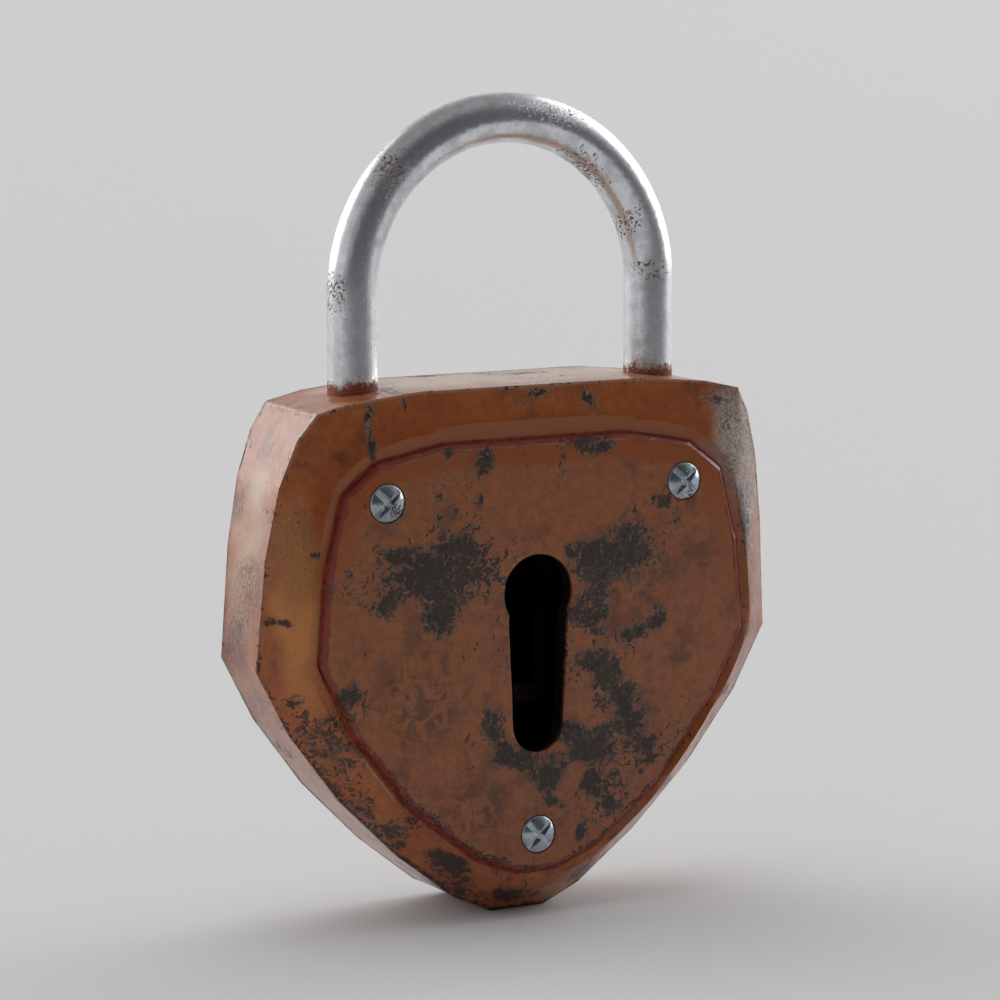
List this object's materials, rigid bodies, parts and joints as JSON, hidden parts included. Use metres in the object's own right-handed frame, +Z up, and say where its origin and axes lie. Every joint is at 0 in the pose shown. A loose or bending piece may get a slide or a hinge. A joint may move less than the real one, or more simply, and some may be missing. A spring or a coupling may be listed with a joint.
{
  "type": "rusty padlock",
  "caption": "Shield-shaped warded padlock: rusty cast case, screwed cover plate with a large keyhole, and a round-bar shackle that lifts.",
  "frame": {"origin": "middle of the small flat at the foot of the case, in the shackle's middle plane", "axes": "+Z up to the bow of the shackle, front with the keyhole faces -Y, +X to the right seen from the front (the heel leg's side)"},
  "size_m": [0.076, 0.0196, 0.1072],
  "materials": {
    "rusty_case": "worn red-brown rust with dark scabs",
    "rusty_cover": "brown rust with dark scabs",
    "shackle_steel": "polished steel with pits and rust specks",
    "screw_steel": "steel with a film of rust",
    "lock_work_steel": "dull brown steel",
    "spring_steel": "dull spring steel",
    "bush_brass": "tarnished"
  },
  "bodies": {
    "case_body": {"case": "rusty_case", "front_plate": "rusty_cover", "cover_screw_left": "screw_steel", "cover_screw_right": "screw_steel", "cover_screw_bottom": "screw_steel", "shackle_keeper_pin": "lock_work_steel", "ejector_spring": "spring_steel", "bolt_spring": "spring_steel", "bolt_guide_pin_left": "lock_work_steel", "bolt_guide_pin_right": "lock_work_steel", "front_ward_plate": "lock_work_steel", "back_ward_plate": "lock_work_steel", "ward_post_upper_left": "lock_work_steel", "ward_post_upper_right": "lock_work_steel", "ward_post_lower_left": "lock_work_steel", "ward_post_lower_right": "lock_work_steel", "back_ring_ward": "lock_work_steel", "key_bush": "bush_brass"},
    "shackle_body": {"shackle": "shackle_steel"},
    "bolt_body": {"locking_bolt": "lock_work_steel"}
  },
  "joints": [
    {"name": "shackle_lift", "type": "slide", "parent": "case_body", "child": "shackle_body", "axis": [0, 0, 1], "range_m": [0, 0.021], "deforming": ["ejector_spring"]},
    {"name": "bolt_throw", "type": "slide", "parent": "case_body", "child": "bolt_body", "axis": [-1, 0, 0], "range_m": [0, 0.0033], "deforming": ["bolt_spring"]}
  ]
}
